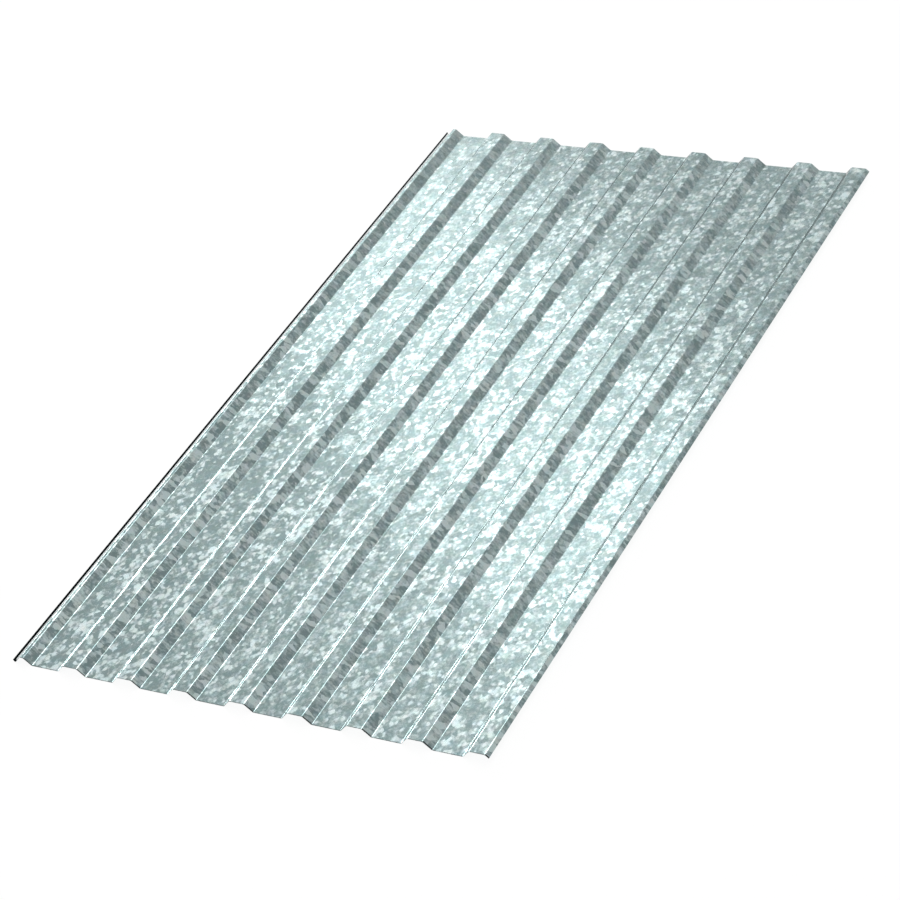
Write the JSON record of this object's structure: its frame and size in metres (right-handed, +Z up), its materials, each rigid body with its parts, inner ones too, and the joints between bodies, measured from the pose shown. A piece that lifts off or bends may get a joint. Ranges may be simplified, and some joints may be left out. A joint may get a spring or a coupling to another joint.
{
  "type": "corrugated metal sheet",
  "caption": "Galvanised steel roofing and wall sheet with trapezoidal ribs, a narrow gutter rib along its underlap side and a cut-off rib along its overlap side.",
  "frame": {"origin": "on the floor that the sheet lies on, at the centre of the sheet's bounding rectangle", "axes": "+Y along the ribs, +Z up out of the ribs' high flats, +X across the ribs from the gutter side to the overlap side"},
  "size_m": [1.137, 2, 0.0185],
  "materials": {
    "galvanised_steel": "hot-dip galvanised, spangled zinc, satin"
  },
  "bodies": {
    "root": {"ribbed_sheet": "galvanised_steel"}
  },
  "joints": []
}
